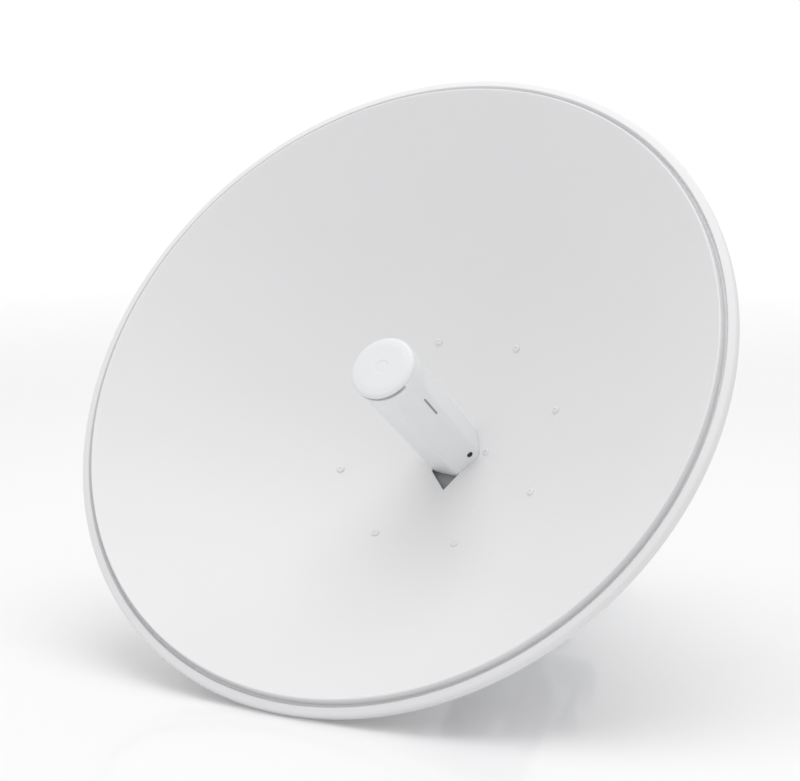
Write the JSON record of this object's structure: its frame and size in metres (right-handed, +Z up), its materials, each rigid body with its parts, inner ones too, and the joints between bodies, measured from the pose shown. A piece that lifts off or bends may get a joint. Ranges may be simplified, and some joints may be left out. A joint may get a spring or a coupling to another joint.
{
  "type": "wireless bridge dish antenna",
  "caption": "Deep round dish antenna with a faceted radio feed on its axis, a backing plate, an elevation bracket and a toothed pole clamp, resting tilted on a floor.",
  "frame": {"origin": "on the floor under the middle of the resting antenna's box", "axes": "+X to the right across the rim, +Z up, the dish faces -Y and leans back so that its axis rises 36 degrees"},
  "size_m": [0.6496, 0.5264, 0.529],
  "materials": {
    "dish_paint": "satin white powder coat",
    "feed_plastic": "fine moulded white plastic",
    "grey_casting": "light grey coated casting",
    "zinc_steel": "zinc plated",
    "rivet_metal": "painted over with the dish",
    "dark_rubber": "matt",
    "dark_lens": "smoked window"
  },
  "bodies": {
    "root": {"backing_plate": "zinc_steel", "cable_grommet": "dark_rubber", "cap_seal": "dark_rubber", "clamp_bolt_1": "zinc_steel", "clamp_bolt_2": "zinc_steel", "clamp_bolt_3": "zinc_steel", "clamp_bolt_4": "zinc_steel", "clamp_jaw_lower": "zinc_steel", "clamp_jaw_upper": "zinc_steel", "clamp_nut_1": "zinc_steel", "clamp_nut_2": "zinc_steel", "clamp_nut_3": "zinc_steel", "clamp_nut_4": "zinc_steel", "feed_cap": "feed_plastic", "feed_tube": "feed_plastic", "frame_rivet_1": "rivet_metal", "frame_rivet_2": "rivet_metal", "frame_rivet_3": "rivet_metal", "frame_rivet_4": "rivet_metal", "frame_rivet_5": "rivet_metal", "frame_rivet_6": "rivet_metal", "frame_rivet_7": "rivet_metal", "frame_rivet_8": "rivet_metal", "housing_bolt_1": "zinc_steel", "housing_bolt_2": "zinc_steel", "housing_bolt_3": "zinc_steel", "housing_bolt_4": "zinc_steel", "hub_screw_left": "zinc_steel", "hub_screw_right": "zinc_steel", "latch_button": "dark_rubber", "led_window": "dark_lens", "lock_bolt": "zinc_steel", "lock_nut": "zinc_steel", "pivot_bolt": "zinc_steel", "pivot_nut": "zinc_steel", "pole_bracket": "zinc_steel", "port_cover": "grey_casting", "rear_housing": "grey_casting", "reflector": "dish_paint"}
  },
  "joints": []
}
